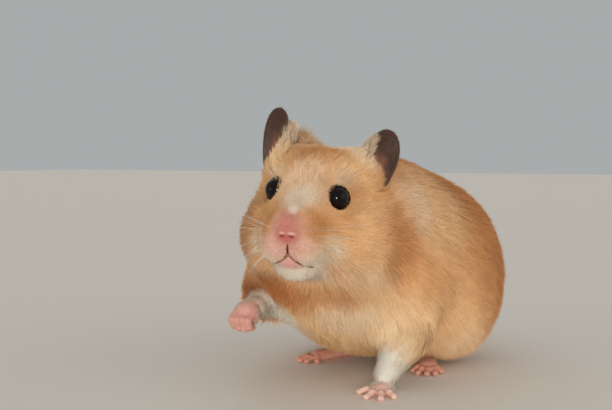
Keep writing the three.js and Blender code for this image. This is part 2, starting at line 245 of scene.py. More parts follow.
HEAD_BLOBS = [
    Ellipsoid((0, 5, 3), (16.5, 16, 14), 8, HEAD),  # cranium
    *pair(Ellipsoid, (9.2, 5, 9), (6.6, 7, 6.6), 6),  # roots of the ears
    *pair(Ellipsoid, (9.6, 1, -9), (11, 12.5, 11.8), 6),  # cheeks
    Taper((0, -3, 1.5), (0, -15.6, -3.6), 9, 5, 6, HEAD),  # forehead and bridge of the nose
    Ellipsoid((0, -8, -6.5), (10, 10.5, 8), 6, HEAD),  # muzzle
    *pair(Ellipsoid, (3.9, -14, -8.4), (4.8, 5.4, 4.4), 4),  # whisker pads
    Ellipsoid((0, -9.6, -13.4), (6, 6.4, 4.8), 4, HEAD),  # chin
    Ellipsoid((0, -12.6, -14.7), (5.2, 4.3, 3.9), 3, HEAD),  # front of the chin
]
TRUNK_BLOBS = [
    Ellipsoid((3, 20, 29.6), (31.5, 32.5, 30), 1),  # rump and belly
    Ellipsoid((1.5, 1, 35.5), (25, 26, 28.5), 9),  # back
    Ellipsoid((0, -12, 34), (24, 25, 25), 16),  # shoulders
    Ellipsoid((0, -24, 39), (18, 16, 18), 12),  # chest
    Ellipsoid((-13, -22, 36), (11, 12, 13), 8),  # right shoulder
    Ellipsoid((22, 15, 20), (13, 19, 18.5), 8),  # left thigh
    Ellipsoid((-18, 15, 20), (13, 19, 18.5), 8),  # right thigh
]
FORELEGS = {
    "left": ((16, -13, 26), (21.5, -17.5, 15), (18.8, -26.6, 4.6)),
    "right": ((-15.5, -17, 31), (-20.5, -24.5, 23.5), (-16, -37.5, 22)),
}  # shoulder, elbow and wrist
WRISTS = [wrist for _, _, wrist in FORELEGS.values()]
LEG_BLOBS = [
    *(Taper(shoulder, elbow, 10.5, 7, 8) for shoulder, elbow, _ in FORELEGS.values()),
    *(Taper(elbow, wrist, 6.6, 3.7, 4) for _, elbow, wrist in FORELEGS.values()),
]
FLESH = [*TRUNK_BLOBS, *HEAD_BLOBS, *LEG_BLOBS]
NOSE = np.array([0, -20.8, -6.0])  # in the head's frame
TAIL = ((4, 43, 14), (5, 51, 11), (7, 57, 6))
TAIL_BLOBS = chain(TAIL, (2.1, 1.6, 0.9), 3)

# heel and palm of each sole
HIND_SOLES = {"left": ((15, 13, 0), (19.5, 1.5, 0)), "right": ((-10, 10, 0), (-15.5, -2, 0))}
FORE_SOLE = ((18.6, -26.5, 0), (18.9, -30, 0))


def toes_of(palm, spread, radius, headings, lengths):
    """For each toe of a foot, its root, knuckle and pad, and the way it points. A heading is an angle from -Y
    towards +X, in degrees."""
    toes = []
    for heading, length in zip(headings, lengths):
        angle = math.radians(heading)
        ahead = np.array([math.sin(angle), -math.cos(angle), 0])
        root = np.array(palm) + ahead * spread + (0, 0, radius * 0.95)
        pad = root + ahead * length - (0, 0, radius * 0.15)
        knuckle = (root + pad) / 2 + (0, 0, radius * 0.55)
        toes.append((root, knuckle, pad, ahead))
    return toes


HIND_TOES = (3, 4.4, 4.8, 4.4, 3)
TOES = {
    "forepaw_left": toes_of(FORE_SOLE[1], 1.7, 0.95, (-62, -8, 26, 62), (4, 5.2, 5.4, 4.2)),
    "hind_foot_left": toes_of(HIND_SOLES["left"][1], 2, 1, (-36, -4, 20, 42, 74), HIND_TOES),
    "hind_foot_right": toes_of(HIND_SOLES["right"][1], 2, 1, (20, -10, -32, -54, -84), HIND_TOES),
}


def curled_digit(share):
    """A digit of the lifted forepaw: a middle line that curls down and back from the palm."""
    x, y, z = np.array(FORELEGS["right"][2]) + (share * 2.7, -4.6, -1)
    lift = 0.8 * abs(share)
    bends = ((-1, 0.2, 0), (-3.4, -1.6, 0), (-2.6, -4.2, lift), (-0.7, -4.7, lift))
    return [np.array([x, y + ahead, z + down + up]) for ahead, down, up in bends]


CURLED_DIGITS = [curled_digit(share) for share in (-1, -0.36, 0.3, 0.9)]


def sole_blobs(heel, palm, width, height):
    """A foot's sole and the top of it, flat on the floor."""
    heel, palm = np.array(heel, float), np.array(palm, float)
    blobs = []
    for share in np.linspace(0, 1, 5):
        half = width / 2 * (0.7 + 0.3 * share)
        at = heel + (palm - heel) * share + (0, 0, height * (0.55 - 0.12 * share))
        blobs.append(Ellipsoid(at, (half, half * 1.25, height * (0.55 - 0.05 * share)), 1.2))
    return blobs


def foot_blobs():
    """Three feet flat on the floor and the lifted forepaw, with their toes."""
    blobs = sole_blobs(*FORE_SOLE, 5.0, 2.9)
    for heel, palm in HIND_SOLES.values():
        blobs += sole_blobs(heel, palm, 5.4, 3.5)
    for root, knuckle, pad, ahead in itertools.chain(*TOES.values()):
        blobs += chain([root - ahead * 1.2, knuckle, pad], [0.95, 0.8, 0.66], 0.5)
        blobs.append(Ellipsoid(pad - (0, 0, 0.15), (0.85, 0.85, 0.6), 0.5))
    wrist = np.array(FORELEGS["right"][2])
    blobs += [
        Ellipsoid(wrist + (0, -1.6, 0), (2.5, 3.2, 2.4), 1.5),
        Ellipsoid(wrist + (0, -4.6, -1), (3.5, 2.9, 2.9), 1.5),
        Ellipsoid(wrist + (0, -3.4, -3.4), (2.4, 2, 1.2), 1),
    ]
    for line in CURLED_DIGITS:
        blobs += chain(line, [1, 0.98, 0.85, 0.68], 0.45)
    return blobs


FOOT_BLOBS = foot_blobs()


class Ear:
    """A thin leaf of skin, hollow in front, that grows out of the head. Its own frame has X across it, Y
    along it from the root to the tip and Z the way it faces. tuft holds the lengths of the pale hair beside
    it, from the ear towards the crown."""

    length, width, cup, arch = 18, 12.5, 6.5, 26
    middle, half = 0.45 * length, 0.57 * length
    blend = 2.2

    def __init__(self, side, base, along, turned, tuft):
        self.base, self.tuft = np.array(base), tuft
        along, turned = unit(np.array(along, float)), math.radians(turned)
        faces = np.array([side * math.sin(turned), -math.cos(turned), 0])
        faces = unit(faces - (faces @ along) * along)
        axes = np.stack([np.cross(along, faces), along, faces], 1)
        self.place = Place(HEAD.outside(base), HEAD.axes @ axes)
        self.inner = -side  # which end of X is the edge beside the crown
        middle = self.place.outside((0, self.middle, 2))
        self.low, self.high = middle - self.length * 0.75, middle + self.length * 0.75

    def sheet(self, points):
        """Across the ear's curved sheet, along it, and out of its back."""
        x, y, z = np.moveaxis(self.place.inside(points), -1, 0)
        z = z - (y - 0.5 * self.length) ** 2 / (2 * self.arch)
        ahead = np.maximum(self.cup - z, 0.05)
        return np.arctan2(x, ahead) * self.cup, y, np.hypot(x, ahead) - self.cup

    def outline(self, across, along):
        """How far outside the leaf's outline a place on the sheet is."""
        return past_ellipse(np.stack([across, along - self.middle], -1), (self.width / 2, self.half))

    def distance(self, points):
        across, along, out = self.sheet(points)
        rim = self.outline(across, along)
        thick = 0.42 + 0.8 * smooth(along, 8, 0) + 0.14 * smooth(rim, -1.6, -0.4)
        return -melted(thick - np.abs(out), -rim, 0.5)


EARS = {
    "left": Ear(1, (11.4, 6, 6.4), (0.28, 0.7, 1), 46, (5.5, 4.2, 3.2, 3)),
    "right": Ear(-1, (-11.8, 5.5, 7.6), (-0.04, -0.02, 1), 32, (10, 6.8, 4.2, 3)),
}

# ---------------------------------------------------------------- the face, in the head's frame

EYE_RADIUS = 3.3
EYE_AT = {"left": np.array([8.2, -7.2, 3.1]), "right": np.array([-8.2, -7.2, 3.8])}
GAZE = {name: unit(np.array([side * 0.66, -0.74, 0.1])) for name, side in SIDES.items()}
LID = 0.36  # thickness of the lids
RIM_AT = 1.75  # how far in front of the eye's middle the lids' edge lies

MOUTH = [(0, -19, -11.4), (1.8, -18, -12.5), (3.8, -16.3, -13.9), (5.6, -14.3, -14.8), (7, -12.4, -15.2)]
PHILTRUM = [(0, -21.3, -7.4), (0, -20.6, -9.2), (0, -19.4, -11.2)]
NOSTRIL = [(0.75, -21.6, -6.7), (1.35, -21.2, -6.55), (1.95, -20.8, -6.0), (2.45, -20.3, -5.2)]


class Lid:
    """The ring of eyelid round an eyeball, cut off flat at its edge."""

    blend = 1.6

    def __init__(self, name):
        self.at, self.gaze = HEAD.outside(EYE_AT[name]), HEAD.direction(GAZE[name])
        reach = EYE_RADIUS + LID
        self.low, self.high = self.at - reach, self.at + reach

    def distance(self, points):
        offset = points - self.at
        ball = np.linalg.norm(offset, axis=-1) - EYE_RADIUS - LID
        return -melted(-ball, RIM_AT - offset @ self.gaze, 0.5)


def lid_opening(name):
    """The space in front of the eyeball that the lids leave open."""
    gaze = GAZE[name]
    side = unit(np.cross((0, 0, 1), gaze))
    axes = HEAD.axes @ np.stack([side, gaze, np.cross(side, gaze)], 1)
    place = Place(HEAD.outside(EYE_AT[name] + gaze * (RIM_AT + 2.2)), axes)
    return Ellipsoid((0, 0, 0), (3.05, 3.4, 3.0), 0.4, place)


LIDS_SKIN = [Lid(name) for name in SIDES]
NOSE_AND_LIPS = [
    Ellipsoid((0, -19.8, -5.7), (2.4, 1.6, 1.9), 1.2, HEAD),  # nose pad
    *pair(Ellipsoid, (1.5, -20.0, -5.9), (1.3, 1.2, 1.2), 0.6),  # wings of the nostrils
    *pair(Ellipsoid, (3.1, -16.6, -9.9), (3.9, 3.6, 3.2), 1.8),  # upper lips
    Ellipsoid((0, -15.4, -12.8), (4.3, 2.9, 2.5), 0.7, HEAD),  # lower lip
]
FACE_SKIN = [*LIDS_SKIN, *NOSE_AND_LIPS]

# ---------------------------------------------------------------- the skin's shape

BODY_DEPTH = 3.6  # of the coat on the trunk


def from_wrists(points):
    """How far points are from the nearer wrist."""
    return np.min([distance(points, wrist) for wrist in WRISTS], 0)


def from_eyes(points):
    """How far points are outside the nearer eyeball."""
    return np.min([distance(points, HEAD.outside(at)) for at in EYE_AT.values()], 0) - EYE_RADIUS


def coat_tips(points):
    """The outline of the animal, out to the tips of its coat."""
    return union(FLESH, points)


def coat_depth(points):
    """How thick the coat is: full on the trunk, thinner towards the nose and the wrists and on the crown."""
    q = HEAD.inside(points)
    depths = (0.12, 0.3, 0.7, 1.2, 2.5, BODY_DEPTH)
    face = np.interp(distance(q, NOSE), (0, 4, 9, 16, 26, 34), depths)
    face = face - 1.3 * smooth(q[..., 2], 6, 13) * smooth(np.abs(q[..., 0]), 18, 10)
    depth = np.minimum(BODY_DEPTH, np.maximum(face, 0.1))
    return np.minimum(depth, np.interp(from_wrists(points), (0, 4, 10, 18), (1, 1.3, 2.2, BODY_DEPTH)))


def closed_skin(points):
    """The surface of the skin before the nostrils, the mouth and the eyes are cut into it: the flesh, sunk by
    the coat's depth, with the bare parts added."""
    field = coat_tips(points) + coat_depth(points)
    return union([*FOOT_BLOBS, *TAIL_BLOBS, *EARS.values(), *FACE_SKIN], points, field)


def on_skin(line, deep=0.0):
    """A line in the head's frame laid on the closed skin, or a little under it."""
    laid = settled(closed_skin, HEAD.outside(np.array(line, float)), 5, 3)
    return HEAD.inside(laid - deep * unit(slope(closed_skin, laid)))


MOUTH_LINES = [on_skin(mirrored(MOUTH, side)) for side in SIDES.values()]
NOSTRIL_LINES = [on_skin(mirrored(NOSTRIL, side), 0.1) for side in SIDES.values()]
PHILTRUM_LINE = on_skin(PHILTRUM)
FACE_CUTS = [
    *(lid_opening(name) for name in SIDES),
    *(rod for line in NOSTRIL_LINES for rod in chain(line, [0.28, 0.3, 0.2, 0.08], 0.2, HEAD)),
    *chain(on_skin(PHILTRUM, -0.04), [0.16, 0.2, 0.3], 0.25, HEAD),
    *(rod for line in MOUTH_LINES for rod in chain(line, [0.36, 0.32, 0.28, 0.24, 0.15], 0.25, HEAD)),
]


def skin(points):
    """The surface of the skin, with its openings and with hollows for the eyeballs."""
    field = carved(FACE_CUTS, points, closed_skin(points))
    field = np.maximum(field, 0.03 - from_eyes(points))
    return np.maximum(field, 0.02 - points[..., 2])


# ---------------------------------------------------------------- the skin's mesh


def graded(*bands):
    """Grid lines over bands, each a start, a stop and a step."""
    lines = [np.arange(start, stop, step) for start, stop, step in bands]
    return np.concatenate([*lines, [bands[-1][1]]])


GRID = [
    graded((-33, -26, 1.3), (-26, -9, 0.48), (-9, 14.5, 0.3), (14.5, 27, 0.48), (27, 36, 1.3)),
    graded((-60, -58, 0.48), (-58, -48, 0.3), (-48, 14, 0.48), (14, 48, 1.4), (48, 61, 0.5)),
    graded((-0.7, 4.8, 0.4), (4.8, 14, 0.7), (14, 28, 0.48), (28, 33, 0.6), (33, 50, 0.3), (50, 79, 0.48)),
]


def on_grid(field, lines, block=12, group=10):
    """The field's values at the grid's corners. A block of corners far from the surface has one value."""
    shape = [len(line) for line in lines]
    values = np.empty(shape, np.float32)
    starts = itertools.product(*(range(0, size, block) for size in shape))
    blocks = [tuple(slice(first, first + block) for first in corner) for corner in starts]
    ends = np.array([[lines[k][part[k]][[0, -1]] for k in range(3)] for part in blocks])
    middles, reach = ends.mean(-1), np.linalg.norm(ends[..., 1] - ends[..., 0], axis=-1) / 2
    rough = field(middles)
    for part, value in zip(blocks, rough):
        values[part] = value
    near = [part for part, value, far in zip(blocks, rough, reach) if abs(value) < 1.4 * far + 1.5]
    for first in range(0, len(near), group):
        parts = near[first : first + group]
        spans = [[lines[k][part[k]] for k in range(3)] for part in parts]
        cubes = [np.stack(np.meshgrid(*span, indexing="ij"), -1) for span in spans]
        found = field(np.concatenate([cube.reshape(-1, 3) for cube in cubes]))
        for part, cube in zip(parts, cubes):
            size = cube.size // 3
            values[part], found = found[:size].reshape(cube.shape[:-1]), found[size:]
    return values


def surface(field, lines):
    """The surface on which a field is zero: one vertex for each grid cell that it crosses and one four-sided
    face round each grid edge that it crosses."""
    values = on_grid(field, lines)
    inside = values < 0
    shape = np.array(values.shape)
    strides = np.array([shape[1] * shape[2], shape[2], 1])
    total, count = np.zeros((inside.size, 3)), np.zeros(inside.size)
    quads = []
    for axis in range(3):
        step = np.eye(3, dtype=int)[axis]
        first = np.moveaxis(inside, axis, 0)
        crossed = np.argwhere(first[:-1] != first[1:])
        at = np.empty_like(crossed)
        at[:, [axis, *(other for other in range(3) if other != axis)]] = crossed
        low = values[tuple(at.T)].astype(float)
        high = values[tuple((at + step).T)]
        point = np.stack([lines[a][at[:, a]] for a in range(3)], 1)
        span = lines[axis][at[:, axis] + 1] - lines[axis][at[:, axis]]
        point[:, axis] += span * low / (low - high)
        u, v = strides[(axis + 1) % 3], strides[(axis + 2) % 3]
        n = at @ strides
        ring = np.stack([n, n - u, n - u - v, n - v], 1)
        for cell in ring.T:
            np.add.at(total, cell, point)
            np.add.at(count, cell, 1)
        quads.append(np.where((low < 0)[:, None], ring, ring[:, ::-1]))
    used = np.flatnonzero(count)
    number = np.full(inside.size, -1)
    number[used] = np.arange(len(used))
    points = total[used] / count[used, None]
    return settled(field, points), number[np.concatenate(quads)]


# ---------------------------------------------------------------- colours
# Colours are given as sRGB, 0 to 255. A mark is placed in the head's frame unless it says MODEL, and the
# later marks lie over the earlier ones.


def linear(colour):
    """An sRGB colour as the renderer's own."""
    c = np.array(colour, float) / 255
    return np.where(c <= 0.04045, c / 12.92, ((c + 0.055) / 1.055) ** 2.4)


GOLD = linear((230, 172, 114))
RUST = linear((198, 129, 75))
DEEP_RUST = linear((178, 108, 60))
# painted shade: a darker brown laid over the right cheek, where shade falls
CHEEK_SHADE = linear((190, 140, 96))
CREAM = linear((244, 206, 156))
PALE = linear((244, 218, 186))
WHITE = linear((255, 243, 230))
BLUSH = linear((236, 194, 176))
PINK = linear((210, 130, 116))
DEEP_PINK = linear((204, 100, 96))
LIP = linear((224, 168, 156))
# painted highlight: a pale pink for the rims above the nostrils
NOSTRIL_HIGHLIGHT = linear((255, 222, 208))
ROSE = linear((210, 144, 128))
# painted shade: the dark red inside the nostrils and along the mouth's creases
RECESS_SHADE = linear((96, 28, 26))
PAW = linear((252, 206, 186))
# painted shade: the hind feet's pink darkened, as under the belly and near the floor; the bare tail uses it
# too
SHADED_HIND_PAW = linear((222, 154, 130))
LIFTED_PAW = linear((222, 160, 144))
EAR_DARK = linear((66, 45, 35))
EAR_ROSE = linear((156, 100, 80))
EAR_HAIR = linear((118, 88, 70))
LID_DARK = linear((34, 24, 21))
UNDER_COAT = 0.82  # how much darker the skin is than the coat on it


class Mark:
    """A soft-edged patch of colour on the coat or the skin."""

    def __init__(self, centre, radii, colour, strength, place=HEAD):
        self.centre, self.radii, self.place = np.array(centre, float), np.array(radii, float), place
        self.colour, self.strength = colour, strength

    def weight(self, points):
        away = distance(self.place.inside(points), self.centre, self.radii)
        return self.strength * smooth(away, 1.35, 0.45)


COAT_MARKS = [
    # the trunk, from the back down
    Mark((2, 24, 58), (36, 46, 26), RUST, 0.95, MODEL),
    Mark((31, 26, 31), (13, 22, 24), DEEP_RUST, 0.6, MODEL),
    Mark((-27, 26, 31), (13, 22, 24), DEEP_RUST, 0.6, MODEL),
    Mark((19, -8, 49), (14, 15, 15), CREAM, 0.65, MODEL),
    Mark((4, -30, 26), (20, 16, 18), CREAM, 0.75, MODEL),
    Mark((24, -6, 18), (14, 18, 16), CREAM, 0.5, MODEL),
    Mark((2, 10, 0), (40, 60, 22), CREAM, 0.6, MODEL),
    Mark((5, 52, 10), (8, 14, 10), PALE, 0.85, MODEL),
    Mark((27, 5, 11), (10, 14, 8), PALE, 0.35, MODEL),
    Mark((9, -31, 24.5), (11, 8, 5), PALE, 0.7, MODEL),
    # the forelegs
    Mark((19, -20, 14), (13, 13, 15), CREAM, 0.8, MODEL),
    Mark(FORELEGS["left"][2], (11, 11, 22), PALE, 0.7, MODEL),
    Mark(FORELEGS["left"][2], (8, 9, 12), WHITE, 0.9, MODEL),
    # rust fur on the right upper arm, darkened as painted shade under the cheek
    Mark((-18, -31, 28.5), (11, 9, 5), DEEP_RUST, 0.65, MODEL),
    Mark((-13, -31.5, 18.5), (8.5, 8.5, 7.5), WHITE, 0.95, MODEL),
    Mark((-22, -26, 21), (6, 9, 5), CREAM, 0.7, MODEL),
    Mark((-16.5, -35, 22), (5.5, 5.5, 5), WHITE, 0.95, MODEL),
    # crown, forehead and cheeks
    Mark((0, 4, 15), (15, 12, 7), RUST, 0.55),
    Mark((0, -11, 5), (8, 9, 8), PALE, 0.6),
    Mark((0, -16, 1.5), (3.4, 5, 3.5), PALE, 0.9),
    Mark((1, -15, 2.5), (4, 4.5, 3.2), WHITE, 0.25),
    *pair(Mark, (14, -5, -4), (9, 11, 9), CREAM, 0.35),
    *pair(Mark, (9, -2, 9), (6, 6, 6), CREAM, 0.5),
    *pair(Mark, (20, 4, -4), (4, 9, 12), RUST, 0.6),
    # painted shade over the right cheek
    Mark((-17, -6, -7), (10, 12, 12), CHEEK_SHADE, 1),
    *pair(Mark, (9.5, -6, 7.8), (4, 3, 3), PALE, 0.55),
    *pair(Mark, (10, -12, -2), (5, 5, 4), GOLD, 0.5),
    # round the nose and the mouth
    *pair(Mark, (5.4, -17.4, -4.2), (2.8, 3.4, 4.2), RUST, 0.6),
    *pair(Mark, (7.5, -14, -10), (6, 6, 4.5), PALE, 0.75),
    *pair(Mark, (4.6, -16.8, -11.6), (4.8, 5, 2.8), WHITE, 0.55),
    *pair(Mark, (3.4, -19, -8.6), (3.8, 3.5, 2.4), BLUSH, 0.7),
    *pair(Mark, (2, -19, -9.4), (2.6, 3, 2.6), BLUSH, 0.8),
    Mark((-0.2, -20, -5.6), (5.4, 5, 5.4), BLUSH, 0.6),
    Mark((-0.3, -20, -4.9), (3.7, 5, 4.4), ROSE, 0.9),
    Mark((0.2, -19.7, -0.3), (1.2, 2, 1), WHITE, 0.65),
    # jaw, throat and behind the ears
    *pair(Mark, (14, -3, -15), (8, 10, 4), PALE, 0.4),
    Mark((0, -12.5, -16), (8, 7.5, 4.4), WHITE, 0.85),
    Mark((-9, -3, -21), (8, 8, 5), DEEP_RUST, 0.8),
    Mark((-6, 1, -22), (10, 8, 5), RUST, 0.85),
    Mark((6, -1, -20.5), (8, 6, 3), RUST, 0.6),
    *pair(Mark, (12, 3, 14), (5, 6, 6), PALE, 0.8),
    *pair(Mark, (20, 14, 4), (6, 8, 10), PALE, 0.55),
]
SKIN_MARKS = [
    Mark((-0.2, -19.8, -4.9), (4, 4.6, 4.5), PINK, 1),
    *pair(Mark, (2.2, -18.8, -9.4), (3, 3, 3), PINK, 0.5),
    Mark((0, -20.8, -6.8), (2.8, 2.5, 1.6), DEEP_PINK, 0.6),
    Mark((0, -17.2, -13.4), (5.2, 3, 2.1), LIP, 1),
    # painted highlights on the rims above the nostrils
    *pair(Mark, (1.5, -21.3, -5.8), (1.2, 1.2, 0.36), NOSTRIL_HIGHLIGHT, 0.5),
    # painted shade inside the nostrils
    *pair(Mark, (1.3, -21.4, -6.6), (0.9, 0.9, 0.42), RECESS_SHADE, 0.9),
]


def mixed(first, second, share):
    """The second in place of the first, by a share from 0 to 1 for each point."""
    share = share[:, None]
    return first * (1 - share) + second * share


def painted(colours, marks, points):
    """Colours with marks laid over them."""
    for mark in marks:
        colours = mixed(colours, mark.colour, mark.weight(points))
    return colours


def ripple(points, size, seed, waves=7):
    """Smooth noise of about -1 to 1, with lumps of a size in millimetres."""
    random = np.random.default_rng(seed)
    total = np.zeros(len(points))
    for _ in range(waves):
        wave = unit(random.normal(size=3)) * 2 * math.pi / size * random.uniform(0.6, 1.5)
        total += np.sin(points @ wave + random.uniform(0, 2 * math.pi))
    return total / math.sqrt(waves)


def coat_colour(points):
    """The coat's colour, the same for the skin and for the tufts on it."""
    colours = painted(np.repeat(GOLD[None], len(points), 0), COAT_MARKS, points)
    mottle = 1 + 0.05 * ripple(points, 9, 11) + 0.04 * ripple(points, 3.5, 12)
    return np.clip(colours * mottle[:, None] ** [0.8, 1, 1.25], 0, 1)


COAT, PAWS, EAR, FACE, LIDS, BARE_TAIL = range(6)


def part_of(points):
    """What each place on the skin belongs to."""
    bare = (FOOT_BLOBS, EARS.values(), NOSE_AND_LIPS, LIDS_SKIN, TAIL_BLOBS)
    flesh = coat_tips(points) + coat_depth(points)
    return np.argmin([flesh, *(union(blobs, points) for blobs in bare)], 0)


def near_wrists(points):
    """1 on the forelegs' wrists, down to 0 on the palms."""
    return smooth(from_wrists(points), 8, 3.5)


def skin_colour(points, parts):
    """The bare skin's colour, with painted shade in the mouth's creases, in the nostrils and on the hind feet
    and a painted highlight on the nostrils' rims, and under the coat a darker shade of the coat's.
    """
    colours = coat_colour(points) * UNDER_COAT
    # painted shade along the creases of the mouth and the fork under the nose
    crease = smooth(line_distance(HEAD.inside(points), *MOUTH_LINES, PHILTRUM_LINE[1:]), 0.55, 0.25)
    pink = mixed(painted(colours, SKIN_MARKS, points), RECESS_SHADE, crease)
    colours = np.where(np.isin(parts, (COAT, FACE))[:, None], pink, colours)
    behind, lifted = points[:, 1:2] > -20, points[:, 2:] > 12
    # the hind feet take the darker pink of painted shade
    paw = np.select([behind, lifted], [SHADED_HIND_PAW, LIFTED_PAW], PAW)
    colours = np.where((parts == PAWS)[:, None], mixed(paw, BLUSH, near_wrists(points)), colours)
    # the bare tail takes the hind feet's darker pink, painted shade included
    colours[parts == BARE_TAIL] = SHADED_HIND_PAW
    colours = mixed(colours, LID_DARK, smooth(from_eyes(points), 0.62, 0.36))
    for ear in EARS.values():
        across, along, _ = ear.sheet(points)
        here = (parts == EAR) & ((points > ear.low) & (points < ear.high)).all(1)
        hollow = smooth(np.hypot(across / 5, (along - 5) / 7), 1.3, 0.3)
        rose = (hollow + 0.13 * ripple(points, 2.6, 21, 12)) * smooth(along, 17, 8)
        rose = np.clip(rose, 0.04, 0.8)
        colours[here] = mixed(EAR_DARK, EAR_ROSE, rose)[here]
    return colours


# ---------------------------------------------------------------- Blender meshes and materials

centre_of_eye = (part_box("eye_left")[0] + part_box("eye_left")[1]) / 2
SHIFT = np.array(centre_of_eye) * 1000 - HEAD.outside(EYE_AT["left"])


def in_frame(points):
    """Model millimetres as the frame's metres."""
    return (np.asarray(points, float) + SHIFT) / 1000


def got(items, key, width, kind=np.float32):
    """One attribute of all the items of a mesh, a row for each."""
    flat = np.empty(len(items) * width, kind)
    items.foreach_get(key, flat)
    return flat.reshape(-1, width)


def give(items, key, values, kind=np.float32):
    """One attribute of all the items of a mesh set from an array."""
    items.foreach_set(key, values.astype(kind).ravel())


def add_tint(mesh, tint):
    layer = mesh.color_attributes.new("Tint", "FLOAT_COLOR", "POINT")
    give(layer.data, "color", np.column_stack([tint, np.ones(len(tint))]))


def placed(name, data):
    """A new object in the scene."""
    thing = bpy.data.objects.new(name, data)
    bpy.context.scene.collection.objects.link(thing)
    return thing


def make_piece(name, points, faces, material, tint=None, corner_uv=None, shading=None):
    """A Blender mesh from points in millimetres, which rides on the body. faces is a list of arrays, each
    with one row for a face; shading is a normal for each corner of a face."""
    mesh = bpy.data.meshes.new(name)
    mesh.vertices.add(len(points))
    give(mesh.vertices, "co", in_frame(points))
    corners = np.concatenate([part.ravel() for part in faces])
    sizes = np.concatenate([np.full(len(part), part.shape[1]) for part in faces])
    mesh.loops.add(len(corners))
    give(mesh.loops, "vertex_index", corners, np.int32)
    mesh.polygons.add(len(sizes))
    give(mesh.polygons, "loop_start", np.cumsum(sizes) - sizes, np.int32)
    give(mesh.polygons, "use_smooth", np.ones(len(sizes)), bool)
    if tint is not None:
        add_tint(mesh, tint)
    if corner_uv is not None:
        give(mesh.uv_layers.new(name="OFBake").data, "uv", corner_uv)
    if shading is not None:
        give(mesh.attributes.new("custom_normal", "FLOAT_VECTOR", "CORNER").data, "vector", shading)
    mesh.update()
    mesh.validate()
    mesh.materials.append(material)
    piece = placed(name, mesh)
    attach(piece, "root")
    return piece


class Paint:
    """A material: its shader, with constants set on it, and the nodes added to it."""

    def __init__(self, name, **constants):
        self.material = bpy.data.materials.new(name)
        self.material.use_nodes = True
        self.tree = self.material.node_tree
        self.shader = self.tree.nodes["Principled BSDF"]
        self.fill(self.shader, constants)
        self.place = self.add("TexCoord").outputs["Object"]

    def fill(self, node, inputs):
        """Inputs set to constants or linked to the outputs of other nodes."""
        for key, value in inputs.items():
            socket = node.inputs[key if isinstance(key, int) else key.replace("_", " ")]
            if isinstance(value, bpy.types.NodeSocket):
                self.tree.links.new(value, socket)
            else:
                socket.default_value = value

    def add(self, kind, **inputs):
        node = self.tree.nodes.new("ShaderNode" + kind)
        self.fill(node, inputs)
        return node

    def noise(self, scale, detail, roughness=0.5):
        made = self.add("TexNoise", Vector=self.place, Scale=scale, Detail=detail, Roughness=roughness)
        return made.outputs["Fac"]

    def tinted(self, scale, detail, spread):
        """The mesh's own colour, made lighter and darker by noise, as the base colour."""
        tint = self.add("Attribute")
        tint.attribute_name = "Tint"
        level = self.add("MapRange", Value=self.noise(scale, detail, 0.6), From_Min=0.3, From_Max=0.7,
                         To_Min=1 - spread, To_Max=1 + spread)
        colour = self.add("VectorMath")
        colour.operation = "MULTIPLY"
        self.fill(colour, {0: tint.outputs["Color"], 1: level.outputs["Result"]})
        self.fill(self.shader, {"Base Color": colour.outputs["Vector"]})

    def streaked(self, dark, light, scale, detail, ends=(0, 1)):
        """Noise between two colours as the base colour."""
        ramp = self.add("ValToRGB", Fac=self.noise(scale, detail))
        for element, colour, position in zip(ramp.color_ramp.elements, (dark, light), ends):
            element.color = (*colour, 1)
            element.position = position
        self.fill(self.shader, {"Base Color": ramp.outputs["Color"]})


def hair_material():
    """Colour from the mesh, with fine flecks along the coat."""
    paint = Paint("hamster_coat", Roughness=0.8, Specular_IOR_Level=0.12)
    paint.tinted(1400.0, 3.0, 0.08)
    return paint.material


def skin_material():
    """Bare skin: the mesh's colour, fine creases and pores, soft and slightly moist."""
    paint = Paint("hamster_skin", Roughness=0.5, Specular_IOR_Level=0.3, Subsurface_Weight=0.12,
                  Subsurface_Scale=0.0012, Subsurface_Radius=(1.0, 0.35, 0.2))
    paint.tinted(900.0, 4.0, 0.12)
    creases = paint.add("TexVoronoi", Vector=paint.place, Scale=2600.0)
    creases.feature = "DISTANCE_TO_EDGE"
    bump = paint.add("Bump", Height=creases.outputs["Distance"], Strength=0.35, Distance=0.00012)
    paint.fill(paint.shader, {"Normal": bump.outputs["Normal"]})
    return paint.material


def eye_material():
    """Wet black, with a trace of brown iris."""
    paint = Paint("hamster_eye", Roughness=0.05, IOR=1.36, Specular_IOR_Level=0.36)
    paint.streaked((0.0015, 0.001, 0.001), (0.008, 0.004, 0.003), 700.0, 3.0)
    return paint.material


def horn_material(name, dark, light, scale, roughness):
    """Claws and whiskers: pale horn with faint streaks."""
    paint = Paint(name, Roughness=roughness, Coat_Weight=0.2, Coat_Roughness=0.2)
    paint.streaked(linear(dark), linear(light), scale, 2.0, (0.35, 0.65))
    return paint.material


# ---------------------------------------------------------------- the skin as a piece

FLESH_NODES = [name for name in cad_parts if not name.startswith("eye_")]
FACES_KEPT = 0.6  # share of the skin's faces


def make_skin():
    """The whole skin as one piece, with fewer faces where the coat covers it."""
    points, quads = surface(skin, GRID)
    piece = make_piece("skin", points, [quads], skin_material())
    from_nose = distance(HEAD.inside(points), NOSE)
    plain = (part_of(points) == COAT) & (from_nose > 11) & (from_eyes(points) > 1.7)
    covered = piece.vertex_groups.new(name="covered")
    covered.add(np.flatnonzero(plain).tolist(), 1, "REPLACE")
    thin = piece.modifiers.new("thin", "DECIMATE")
    thin.ratio, thin.vertex_group = FACES_KEPT, covered.name
    whole = piece.data
    graph = bpy.context.evaluated_depsgraph_get()
    piece.data = bpy.data.meshes.new_from_object(piece.evaluated_get(graph))
    piece.modifiers.clear()
    piece.vertex_groups.clear()
    bpy.data.meshes.remove(whole)
    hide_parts(*FLESH_NODES)
    return piece


